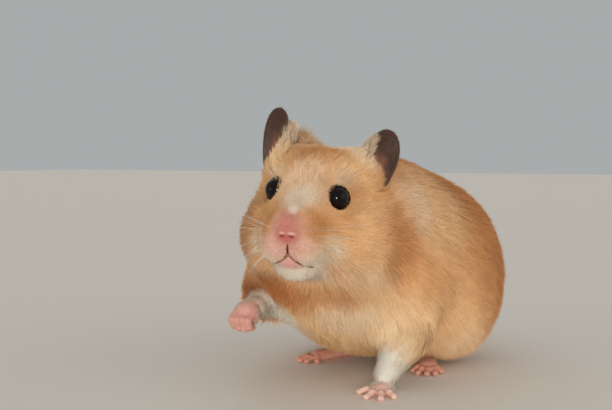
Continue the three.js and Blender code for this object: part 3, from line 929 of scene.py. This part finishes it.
skin_piece = make_skin()
skin_points = got(skin_piece.data.vertices, "co", 3).astype(float) * 1000 - SHIFT
add_tint(skin_piece.data, skin_colour(skin_points, part_of(skin_points)))

# ---------------------------------------------------------------- how the coat grows

PATCH = 0.0015  # half the breadth of a tuft's patch on the unwrap
SUNK = 0.12  # how deep a tuft's root lies in the skin
BENT_FROM = 3.2  # the length from which a tuft has a middle
TRIED = 2.6  # roots strewn for each one wanted, before those that share a cell are dropped
CELL = 0.93  # breadth of a root's cell where there is one root to a square millimetre
PIECE_TRIANGLES = 190_000  # most triangles in one piece
random = np.random.default_rng(7)


def unwrapped(piece):
    """The skin's unwrap: where each corner of each triangle lies in it, and the corners themselves."""
    bpy.ops.object.select_all(action="DESELECT")
    bpy.context.view_layer.objects.active = piece
    piece.select_set(True)
    piece.data.uv_layers.new(name="OFBake")
    bpy.ops.object.mode_set(mode="EDIT")
    bpy.ops.mesh.select_all(action="SELECT")
    bpy.ops.uv.smart_project(angle_limit=1.15, island_margin=0.004, scale_to_bounds=True)
    bpy.ops.object.mode_set(mode="OBJECT")
    piece.data.calc_loop_triangles()
    uv = got(piece.data.uv_layers["OFBake"].data, "uv", 2)
    loops, corners = (got(piece.data.loop_triangles, key, 3, np.int32) for key in ("loops", "vertices"))
    return uv[loops], corners


def below_mouth(q):
    """Which places in the head's frame are lower than the line of the mouth."""
    line = np.array(MOUTH)
    return q[:, 2] < np.interp(np.abs(q[:, 0]), line[:, 0], line[:, 2])


def fringe(points):
    """The pale tuft at each ear, on its inner edge, over the lower front, up the back and on the crown beside
    it: how far a place belongs to it, the length of the hair there and the way it points."""
    q = HEAD.inside(points)
    wisps = 1.3 * ripple(points, 2.4, 22)
    share, length, way = np.zeros(len(points)), np.zeros(len(points)), np.zeros((len(points), 3))
    for ear in EARS.values():
        across, along, out = ear.sheet(points)
        inward = across * ear.inner
        on_ear = smooth(np.abs(out), 1.6, 1)
        edge = smooth(ear.outline(across, along), -1.5, -0.5) * smooth(inward, 2, 4)
        edge = edge * band(along, 1, 3, 11, 14) * on_ear
        front = smooth(inward + 0.9 * (5.5 - along) + wisps, 1, 3.5) * smooth(out, 0.2, -0.2)
        front = front * band(along, -1, 1, 9, 14) * on_ear
        back = smooth(out, 0, 0.3) * smooth(inward, -2.5, 0.5) * band(along, -1, 1, 11, 15) * on_ear
        beside = (q[:, 0] - ear.base[0]) * ear.inner
        behind = q[:, 1] - ear.base[1]
        above = q[:, 2] - ear.base[2]
        crown = band(beside, -1, 1, 9, 14) * band(behind, -8, -5, 5, 8)
        crown = crown * smooth(above, -4, -1) * smooth(along, 9, 5)
        on_crown = np.interp(beside, (3, 6, 9, 12), ear.tuft) * (1 - 0.45 * smooth(behind, -1, -5))
        up_back = np.interp(along, (0, 8, 14), (0.65, 0.55, 0.3)) * ear.tuft[0]
        share = np.max([share, front, edge, back, crown], 0)
        length = np.max([length, 3 * front, 2.2 * edge, up_back * back, on_crown * crown], 0)
        way += front[:, None] * (ear.place.axes @ [-0.5 * ear.inner, 1, 0.3])
        way += np.max([edge, crown, back], 0)[:, None] * (ear.place.axes @ [0, 1, 0])
    return share, length, unit(way)


def tuft_length(points, parts):
    """The length of the coat's hair in millimetres."""
    q = HEAD.inside(points)
    length = np.interp(distance(q, NOSE), (0, 4, 6.5, 12, 20, 27, 36), (0.4, 0.7, 1.6, 2.8, 4.1, 6.2, 8.5))
    crown = smooth(q[:, 2], 4, 11) * smooth(np.abs(q[:, 0]), 20, 12) * smooth(q[:, 1], 16, 8)
    length = length * (1 - crown) + np.minimum(length, 3.6) * crown
    beside_eyes = np.interp(from_eyes(points), (0, 1, 3, 7), (0.5, 0.8, 1.8, 9))
    beside_mouth = 0.45 + 0.85 * line_distance(q, *MOUTH_LINES, PHILTRUM_LINE)
    sleeve = np.interp(from_wrists(points), (0, 3, 8, 16), (1.5, 2.1, 3.6, 9))
    length = np.min([length, beside_eyes, beside_mouth, sleeve], 0)
    length = np.where(parts == PAWS, 0.9 + 0.8 * near_wrists(points), length)
    length[parts == EAR] = 0.8
    length[parts == BARE_TAIL] = 2.2
    tufted, long, _ = fringe(points)
    return length * (1 - tufted) + long


def swirl(points, size, seed):
    """Smooth noise as a vector."""
    return np.stack([ripple(points, size, seed + axis) for axis in range(3)], 1)


def flow(points, normals):
    """The way the coat lies, along the skin: back from the nose, and over the trunk away from the head and
    down."""
    q = HEAD.inside(points)
    over_head = HEAD.direction(unit(q - (0, -25, -4)))
    behind = unit(points - (1.4, -38, 54)) + (0, 0.15, -0.5)
    way = mixed(over_head, behind, smooth(distance(q, (0, 0, 0)), 17, 27))
    for _, elbow, wrist in FORELEGS.values():
        away, along = from_line(points, elbow, wrist)
        way = mixed(way, unit(np.subtract(wrist, elbow)), smooth(away - 5 + 2 * along, 5, 0))
    on_tail = smooth(from_line(points, TAIL[1], TAIL[2])[0], 4, 2)
    way = mixed(way, unit(np.subtract(TAIL[2], TAIL[1])), on_tail)
    for ear in EARS.values():
        across, along, out = ear.sheet(points)
        near = smooth(np.abs(out), 4, 1) * smooth(np.abs(across), 11, 6) * smooth(along, -5, 0)
        way = mixed(way, ear.place.axes[:, 1], near)
    tufted, _, lean = fringe(points)
    uneven = swirl(points, 13, 31) * 0.16 + swirl(points, 4.5, 41) * 0.15
    way = unit(mixed(unit(way), lean, tufted)) + uneven
    return unit(way - (way * normals).sum(1, keepdims=True) * normals)


def bare_places(points, parts):
    """Where no hair grows: the nose pad, the mouth's lines, the fork under the nose, the lower lip and the
    undersides of the feet and the belly."""
    q = HEAD.inside(points)
    nose = distance(q, (0, -21.2, -6.2), (2.2, 2.0, 1.3)) < 1
    crease = line_distance(q, *MOUTH_LINES, PHILTRUM_LINE) < 0.35
    fork = distance(q, MOUTH[0]) < 1.2
    lip = (distance(q, (0, -17.2, -13.4), (4.4, 2.9, 1.9)) < 1) & below_mouth(q)
    sole = (parts == PAWS) & (points[:, 2] < 1.2)
    return nose | crease | fork | lip | sole | (points[:, 2] < 0.5)


def density_of(points, parts):
    """Tufts for each square millimetre, before they are thinned."""
    q = HEAD.inside(points)
    density = np.interp(distance(q, (0, 0, 0)), (20, 30), (14.0, 10.5))
    density[np.isin(parts, (PAWS, EAR))] = 3
    density = density + 9 * fringe(points)[0] * (parts == EAR)
    density = density + 16 * smooth(distance(q, NOSE), 12, 7)
    density = density + 8 * near_wrists(points) * (parts == PAWS)
    density[np.isin(parts, (LIDS, BARE_TAIL))] = 14
    density[bare_places(points, parts)] = 0.02
    return density


def cells(points, sizes):
    """A number for the cubic cell that each point is in."""
    keys = np.floor(points / sizes[:, None]).astype(np.int64)
    return (keys[:, 0] * 4099 + keys[:, 1]) * 4099 + keys[:, 2]


def one_of_each(codes):
    """A random one of the points that share a code, for each code."""
    order = random.permutation(len(codes))
    _, first = np.unique(codes[order], return_index=True)
    return order[first]


def scattered(points, corner_uv, corners, density):
    """Roots strewn evenly over the skin's triangles, with their normals and their places on its unwrap.
    density is given for each triangle."""
    a, b, c = (points[corners[:, k]] for k in range(3))
    cross = np.cross(b - a, c - a)
    area = np.linalg.norm(cross, axis=1) / 2
    expected = area * density * TRIED
    count = np.floor(expected + random.random(len(expected))).astype(int)
    face = np.repeat(np.arange(len(corners)), count)
    u, v = random.random((2, len(face)))
    over = u + v > 1
    u[over], v[over] = 1 - u[over], 1 - v[over]
    shares = np.stack([1 - u - v, u, v], 1)[..., None]
    place = (np.stack([a[face], b[face], c[face]], 1) * shares).sum(1)
    uv = (corner_uv[face] * shares).sum(1)
    level = np.round(np.log2(CELL / np.sqrt(density[face])) * 3)
    kept = np.sort(one_of_each(cells(place, 2 ** (level / 3)) * 64 + (level + 30).astype(np.int64)))
    return place[kept], unit(cross[face[kept]]), uv[kept]


def in_locks(roots, middles, tips, spacing, pull):
    """Middles and tips drawn together into locks, one lock for each cell of a loose net of roots."""
    leaders = one_of_each(cells(roots, spacing))
    tree = kdtree.KDTree(len(leaders))
    for number, root in enumerate(roots[leaders]):
        tree.insert(root, number)
    tree.balance()
    leader = leaders[np.array([tree.find(root)[1] for root in roots])]
    meeting = roots[leader] + (tips[leader] - roots[leader]) * 1.05
    pull = pull[:, None]
    return middles + (middles[leader] - middles) * pull * 0.45, tips + (meeting - tips) * pull


def at_outline(middles, tips, wanted, furthest):
    """Tufts raised or lowered until their tips are as deep under the animal's outline as wanted."""
    for _ in range(2):
        outward = unit(slope(coat_tips, tips, 0.3))
        step = np.clip(wanted - coat_tips(tips), -furthest, furthest)[:, None] * outward
        tips = tips + step
        middles = middles + step * 0.45
    return middles, tips


def grown(roots, normals, parts):
    """Tufts on roots, combed, drawn into locks and trimmed to the animal's outline."""
    count = len(roots)
    length = tuft_length(roots, parts) * random.uniform(0.75, 1.2, count)
    way = flow(roots, normals)
    way = unit(way + np.cross(way, normals) * random.normal(0, 0.16, (count, 1)))
    short = smooth(length, 6, 1.5)
    tufted = fringe(roots)[0]
    rise = np.radians(38 - 12 * short + 12 * tufted + random.normal(0, 5, count))[:, None]
    settle = np.radians(10 + 6 * short + random.normal(0, 5, count))[:, None]
    reach = length[:, None]
    middles = roots + 0.42 * reach * (way * np.cos(rise) + normals * np.sin(rise))
    tips = middles + 0.58 * reach * (way * np.cos(settle) + normals * np.sin(settle))
    pull = 0.25 + 0.12 * smooth(length, 2, 7)
    middles, tips = in_locks(roots, middles, tips, 0.9 + 0.16 * length, pull)
    wanted = np.clip(random.normal(-0.45, 0.45, count), -1.6, 0.75) * smooth(length, 0, 5)
    trimmed = (parts == COAT) & (tufted < 0.3) & (union(FACE_SKIN, roots) > 1)
    middles[trimmed], tips[trimmed] = at_outline(middles[trimmed], tips[trimmed], wanted[trimmed], 1.6)
    for part in (middles, tips):
        part[:, 2] = np.maximum(part[:, 2], 0.15)
    return length, middles, tips


def clear(roots, points):
    """Which of the tufts' middles or tips are not in front of an eye or beyond an ear."""
    free = np.ones(len(points), bool)
    for name, at in EYE_AT.items():
        gaze = HEAD.direction(GAZE[name])
        offset = points - HEAD.outside(at)
        ahead = offset @ gaze
        free &= (distance(offset, ahead[:, None] * gaze) > 2.75) | (ahead < 0) | (ahead > 12)
    for ear in EARS.values():
        across, along, out = ear.sheet(points)
        through = (out > 0) != (ear.sheet(roots)[2] > 0)
        free &= ~(through & (ear.outline(across, along) < 0.2) & (np.abs(out) < 9))
    return free


# ---------------------------------------------------------------- the coat's pieces
# The tufts are solid: two three-sided spikes base to base for long hair, one for short hair. Each tuft has a
# small patch of its own on the unwrap, round its root's place.

# A shape says a tuft's faces, its corners' places on its patch and between the colours of root and tip, the
# faces of its underside and the edges that stay sharp.

FAN = ((-0.87, -0.5), (0.87, -0.5), (0, 1))
TuftShape = collections.namedtuple("TuftShape", "faces patch shade under seams")
BENT = TuftShape(
    faces=np.array([(0, 1, 2), (0, 2, 3), (0, 3, 1), (4, 2, 1), (4, 3, 2), (4, 1, 3)]),
    patch=np.array([(0.3, 0.5), *FAN, (-0.3, -0.1)]) * PATCH,
    shade=np.array([0, 0.5, 0.5, 0.5, 1]),
    under=[0, 3],
    seams=[(0, 1), (0, 2), (1, 4), (2, 4)],
)
STRAIGHT = TuftShape(
    faces=np.array([(0, 1, 2), (0, 3, 1), (1, 3, 2), (2, 3, 0)]),
    patch=np.array([*FAN, (0.1, 0.05)]) * PATCH,
    shade=np.array([0, 0, 0, 1]),
    under=[1],
    seams=[(0, 1), (0, 3), (1, 3)],
)


def make_tufts(name, shape, roots, normals, uv, middles, tips, width, root_colour, tip_colour):
    """A piece of tufts of one shape, shaded more like the coat's surface than like spikes."""
    ways = unit(tips - roots)
    sides = unit(np.cross(ways, normals))
    ups = np.cross(sides, ways)
    half = width[:, None] / 2
    sunk = roots - normals * SUNK
    widest = middles if shape is BENT else sunk
    ring = [widest - sides * half, widest + sides * half, widest + ups * (half * 0.9)]
    corners = np.stack([sunk, *ring, tips] if shape is BENT else [*ring, tips], 1)
    size = len(shape.patch)
    faces = shape.faces[None] + (np.arange(len(roots)) * size)[:, None, None]
    shading = np.repeat(unit(0.75 * normals + 0.25 * ups)[:, None], len(shape.faces), 1)
    shading[:, shape.under] = -ups[:, None]
    shading = np.repeat(shading.reshape(-1, 3), 3, 0)
    colours = root_colour[:, None] * (1 - shape.shade[:, None]) + tip_colour[:, None] * shape.shade[:, None]
    patches = (uv[:, None] + shape.patch)[:, shape.faces.ravel()]
    piece = make_piece(name, corners.reshape(-1, 3), [faces.reshape(-1, 3)], coat_paint,
                       colours.reshape(-1, 3), patches.reshape(-1, 2), shading)
    first, second = np.sort(got(piece.data.edges, "vertices", 2, np.int32) % size, 1).T
    sharp = np.isin(first * size + second, [a * size + b for a, b in shape.seams])
    give(piece.data.attributes.new("sharp_edge", "BOOLEAN", "EDGE").data, "value", sharp, bool)


def tuft_colours(roots, parts, tufted):
    """Each tuft's colour at its root and at its tip."""
    colour = coat_colour(roots)
    paws = mixed(BLUSH, WHITE, near_wrists(roots))
    colour = np.where((parts == PAWS)[:, None], paws, colour)
    colour[parts == EAR] = EAR_HAIR
    colour = colour * random.normal(1, 0.06, (len(roots), 1)).clip(0.8, 1.2)
    pale = random.random((len(roots), 1)) ** 5
    fringe_tip = mixed(CREAM, PALE, smooth(HEAD.inside(roots)[:, 2], 8, 17))
    tip_colour = mixed(np.clip(colour * 1.1 + 0.08 * pale, 0, 1), fringe_tip, tufted)
    # the roots are a little darker: painted shade deep in the coat
    root_colour = mixed(colour * [0.92, 0.88, 0.83], CREAM, 0.7 * tufted * (parts == COAT))
    return root_colour, tip_colour


def make_coat():
    corner_uv, corners = unwrapped(skin_piece)
    middle = skin_points[corners].mean(1)
    density = density_of(middle, part_of(middle))
    roots, normals, uv = scattered(skin_points, corner_uv, corners, density)
    parts = part_of(roots)
    length, middles, tips = grown(roots, normals, parts)
    free = clear(roots, middles) & clear(roots, tips)
    rows = (roots, normals, uv, parts, length, middles, tips)
    roots, normals, uv, parts, length, middles, tips = (row[free] for row in rows)
    tufted = fringe(roots)[0]
    normals = unit(normals + tufted[:, None] * HEAD.direction((0, -1.2, 0.2)))
    colours = tuft_colours(roots, parts, tufted)
    width = np.interp(length, (0.6, 2, 5, 9), (0.12, 0.19, 0.23, 0.27)) * random.uniform(0.8, 1.2, len(roots))
    rows = (roots, normals, uv, middles, tips, width, *colours)
    for name, shape, chosen in coat_pieces(roots, length > BENT_FROM):
        make_tufts(name, shape, *(row[chosen] for row in rows))


def coat_pieces(roots, long):
    """The coat's pieces, in bands from front to back: their names, their tufts' shape and which tufts."""
    for kind, shape, chosen in (("coat", BENT, long), ("down", STRAIGHT, ~long)):
        order = np.flatnonzero(chosen)
        order = order[np.argsort(roots[order, 1])]
        pieces = math.ceil(len(order) * len(shape.faces) / PIECE_TRIANGLES)
        for number, part in enumerate(np.array_split(order, pieces)):
            yield f"{kind}_{number + 1}", shape, part


coat_paint = hair_material()
make_coat()

# ---------------------------------------------------------------- eyes, whiskers and claws


def ring_faces(rings, sides):
    """The faces over a stack of rings of points, closed at each end by a point of its own. The rings' points
    are numbered first, then the two ends."""
    ring, side = np.meshgrid(np.arange(rings - 1), np.arange(sides), indexing="ij")
    after = (side + 1) % sides
    low, high = ring * sides, (ring + 1) * sides
    quads = np.stack([low + side, low + after, high + after, high + side], -1).reshape(-1, 4)
    start, end = np.arange(sides), np.arange(sides) + (rings - 1) * sides
    first, last = np.full(sides, rings * sides), np.full(sides, rings * sides + 1)
    caps = [np.stack([first, np.roll(start, -1), start], 1), np.stack([last, end, np.roll(end, -1)], 1)]
    return quads, np.concatenate(caps)


def make_eye(name):
    """A round eyeball with a slight cornea, drawn round the way it looks."""
    rings, sides = 40, 64
    gaze = GAZE[name]
    across = unit(np.cross((0, 0, 1), gaze))
    axes = np.stack([across, np.cross(gaze, across), gaze], 1)
    polar = np.linspace(0, math.pi, rings + 2)[1:-1]
    turns = np.arange(sides) * 2 * math.pi / sides
    bulge = 1 + 0.012 * smooth(polar, 0.9, 0.2)
    ring = np.stack([np.cos(turns), np.sin(turns)], 1)
    rows = [
        np.column_stack([ring * math.sin(angle), np.full(sides, math.cos(angle))]) * out
        for angle, out in zip(polar, bulge)
    ]
    local = np.concatenate([*rows, [[0, 0, 1.012], [0, 0, -1]]]) * (EYE_RADIUS - 0.02)
    faces = [part[:, ::-1] for part in ring_faces(rings, sides)]
    points = HEAD.outside(EYE_AT[name] + local @ axes.T)
    piece = make_piece("eyeball_" + name, points, faces, eye_paint)
    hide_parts("eye_" + name)


eye_paint = eye_material()
for eye_name in SIDES:
    make_eye(eye_name)


def tube(line, radii, sides):
    """A closed tube along a line, with a radius at each of its points: points, quads and caps."""
    line, radii = np.array(line, float), np.array(radii, float)
    along = unit(np.gradient(line, axis=0))
    seed = np.eye(3)[np.argmin(np.abs(along[0]))]
    across = unit(np.cross(along, seed))
    over = np.cross(along, across)
    turns = (np.arange(sides) * 2 * math.pi / sides)[None, :, None]
    rings = np.cos(turns) * across[:, None] + np.sin(turns) * over[:, None]
    rings = line[:, None] + radii[:, None, None] * rings
    return np.concatenate([rings.reshape(-1, 3), line[:1], line[-1:]]), *ring_faces(len(line), sides)


def make_tubes(name, tubes, material):
    """Many tubes joined as one piece."""
    points, quads, caps = zip(*tubes)
    offsets = np.cumsum([0, *(len(part) for part in points[:-1])])
    faces = [np.concatenate([part + offset for part, offset in zip(kind, offsets)]) for kind in (quads, caps)]
    return make_piece(name, np.concatenate(points), faces, material)


def whisker(start, way, length, bow, thick):
    """A hair that leaves the skin beside a place on the head one way and bows another."""
    start = HEAD.inside(settled(skin, HEAD.outside([start]), 4, 3))[0]
    share = np.linspace(0, 1, 14)[:, None]
    line = start + length * (share * unit(np.array(way, float)) + share**2.2 * np.array(bow))
    return tube(HEAD.outside(line), thick * (1 - 0.85 * share[:, 0] ** 1.2), 5)


def whiskers_of(side):
    """Five rows of whiskers on the pad beside the nose, three over the eye and two on the cheek."""
    found = []
    for row, column in itertools.product(range(5), range(4)):
        start = (side * (4.2 + 0.75 * column), -18.3 + 1.35 * column, -5.2 - 1.35 * row - 0.2 * column)
        way = (side, -0.45 + 0.22 * column, 0.34 - 0.27 * row) + random.normal(0, 0.1, 3)
        length = random.uniform(0.75, 1.25) * (8.5 + 3.2 * column - 0.8 * row)
        bow = (-0.1 * side, 0.22, -0.16 - 0.05 * row)
        found.append(whisker(start, way, length, bow, random.uniform(0.024, 0.038)))
    for number in range(3):
        start = (side * (7.9 + number), -9.8 + number, 7.4)
        way = (side * (0.6 + 0.2 * number), -0.5, 0.9)
        found.append(whisker(start, way, 8 + 2 * number, (0, 0.35, -0.1), 0.035))
    for number in range(2):
        start = (side * (16 - 5 * number), -9 - number, -7 - 5 * number)
        way = (side, -0.35, -0.45 - 0.5 * number)
        found.append(whisker(start, way, 8 + 2 * number, (0, 0.2, -0.1), 0.035))
    return found


def claw(pad, ahead, down, length):
    """A curved cone that leaves the end of a toe and bends towards the ground."""
    share = np.linspace(0, 1, 9)[:, None]
    line = pad + length * (share * 1.35 - 0.35) * ahead + length * 0.28 * share**2 * np.array(down)
    return tube(line, 0.34 * (1 - 0.93 * share[:, 0] ** 1.3), 8)


horn = horn_material("hamster_claw", (196, 150, 128), (232, 204, 184), 1500.0, 0.35)
bristle = horn_material("hamster_whisker", (206, 196, 184), (250, 246, 238), 220.0, 0.4)
for side_name, side in SIDES.items():
    make_tubes("whiskers_" + side_name, whiskers_of(side), bristle)
for foot, toes in TOES.items():
    claws = [claw(pad + (0, 0, 0.1), ahead, (0, 0, -1), 1.6) for _, _, pad, ahead in toes]
    make_tubes("claws_" + foot, claws, horn)
lifted_claws = [claw(pad, unit(pad - bend), (0, 0.7, -0.7), 1.2) for _, _, bend, pad in CURLED_DIGITS]
make_tubes("claws_forepaw_right", lifted_claws, horn)

# ---------------------------------------------------------------- stage, light and camera


def make_floor():
    bpy.ops.mesh.primitive_plane_add(size=6, location=(0, 0, cad_box[0][2]))
    floor = bpy.context.object
    floor.name = "floor"
    paint = Paint("floor", Roughness=0.9)
    paint.streaked(linear((235, 225, 213)), linear((246, 237, 225)), 900.0, 4.0)
    floor.data.materials.append(paint.material)


def facing(azimuth, elevation):
    """The turn of a light or a camera on one side of the animal that looks at it. Azimuth 0 is the side of
    -Y and 90 that of +X, in degrees."""
    a, e = math.radians(azimuth), math.radians(elevation)
    away = Vector((math.sin(a) * math.cos(e), -math.cos(a) * math.cos(e), math.sin(e)))
    return away.to_track_quat("Z", "Y").to_euler()


def add_sun(name, azimuth, elevation, breadth, strength, colour):
    """A soft distant light; breadth is its angle across, in degrees."""
    light = bpy.data.lights.new(name, "SUN")
    light.angle, light.energy, light.color = math.radians(breadth), strength, colour
    placed(name, light).rotation_euler = facing(azimuth, elevation)


def set_world(colour, strength):
    world = bpy.data.worlds.new("studio")
    bpy.context.scene.world = world
    world.use_nodes = True
    background = world.node_tree.nodes["Background"]
    background.inputs["Color"].default_value = (*linear(colour), 1)
    background.inputs["Strength"].default_value = strength


def make_camera():
    """A camera that looks nearly level from 30 degrees round to the animal's left."""
    view = bpy.data.cameras.new("camera")
    view.lens, view.sensor_width, view.clip_start = 54.2, 36, 0.01
    camera = placed("camera", view)
    camera.location, camera.rotation_euler = in_frame((123.9, -252.0, 64)), facing(30, 3.05)
    bpy.context.scene.camera = camera


make_floor()
add_sun("key", 26, 7, 10, 1.38, (1, 0.99, 0.97))
add_sun("fill", -35, 8, 14, 0.26, (1, 0.99, 0.98))
add_sun("side", 100, 15, 60, 0.42, (1, 0.99, 0.98))
add_sun("back", 215, 45, 60, 0.22, (0.98, 0.99, 1))
set_world((222, 226, 226), 0.54)
make_camera()
bpy.context.scene.view_settings.view_transform = "Standard"
